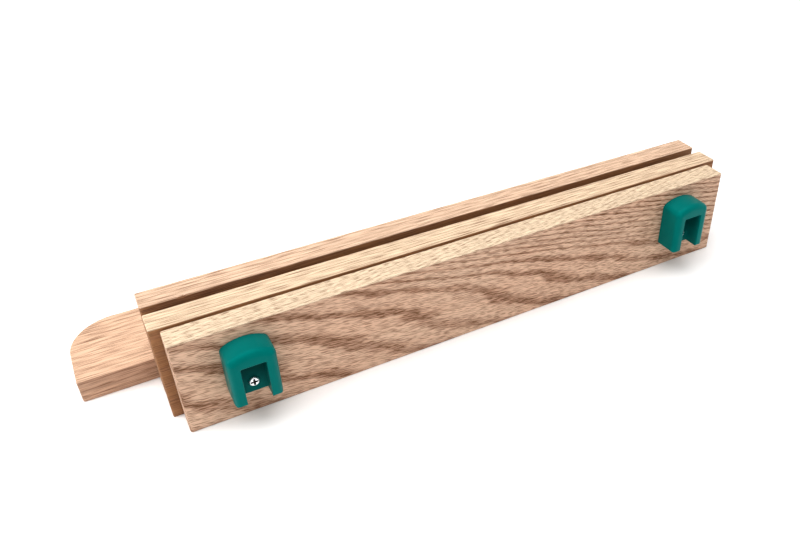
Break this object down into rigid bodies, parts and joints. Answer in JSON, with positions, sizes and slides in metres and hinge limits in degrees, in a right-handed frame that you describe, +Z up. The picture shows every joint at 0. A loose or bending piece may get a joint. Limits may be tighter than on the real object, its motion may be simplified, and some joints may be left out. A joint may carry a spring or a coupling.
{
  "type": "brick jointing frame",
  "caption": "Wooden brick jointing frame: upright rails with a joint-wide slot, a flat round-cornered board behind, and moulded hoods screwed to the front.",
  "frame": {"origin": "on the surface that the frame stands on, under the middle of the bounding box", "axes": "+X along the rails, to the right seen from the hoods' side; +Y from the hoods towards the flat board; +Z up"},
  "size_m": [0.588, 0.1552, 0.0775],
  "materials": {
    "oak_pale": "planed red oak, unfinished, pale straw to tan, open pores along the grain",
    "oak_tan": "planed red oak, unfinished, pinkish tan with fine straight growth lines",
    "green_plastic": "moulded teal green plastic, satin",
    "zinc_steel": "bright zinc plated steel"
  },
  "bodies": {
    "root": {"front_rail": "oak_pale", "middle_rail": "oak_tan", "rear_rail": "oak_tan", "base_board": "oak_tan", "slot_spacer_1": "oak_tan", "slot_spacer_2": "oak_tan", "slot_spacer_3": "oak_tan", "left_hook": "green_plastic", "right_hook": "green_plastic", "left_shim_washer": "zinc_steel", "right_shim_washer": "zinc_steel", "left_hook_screw": "zinc_steel", "right_hook_screw": "zinc_steel", "slot_spacer_1_lower_screw": "zinc_steel", "slot_spacer_1_upper_screw": "zinc_steel", "slot_spacer_2_lower_screw": "zinc_steel", "slot_spacer_2_upper_screw": "zinc_steel", "slot_spacer_3_lower_screw": "zinc_steel", "slot_spacer_3_upper_screw": "zinc_steel", "board_screw_left_1": "zinc_steel", "board_screw_left_2": "zinc_steel", "board_screw_right_1": "zinc_steel", "board_screw_right_2": "zinc_steel"}
  },
  "joints": []
}
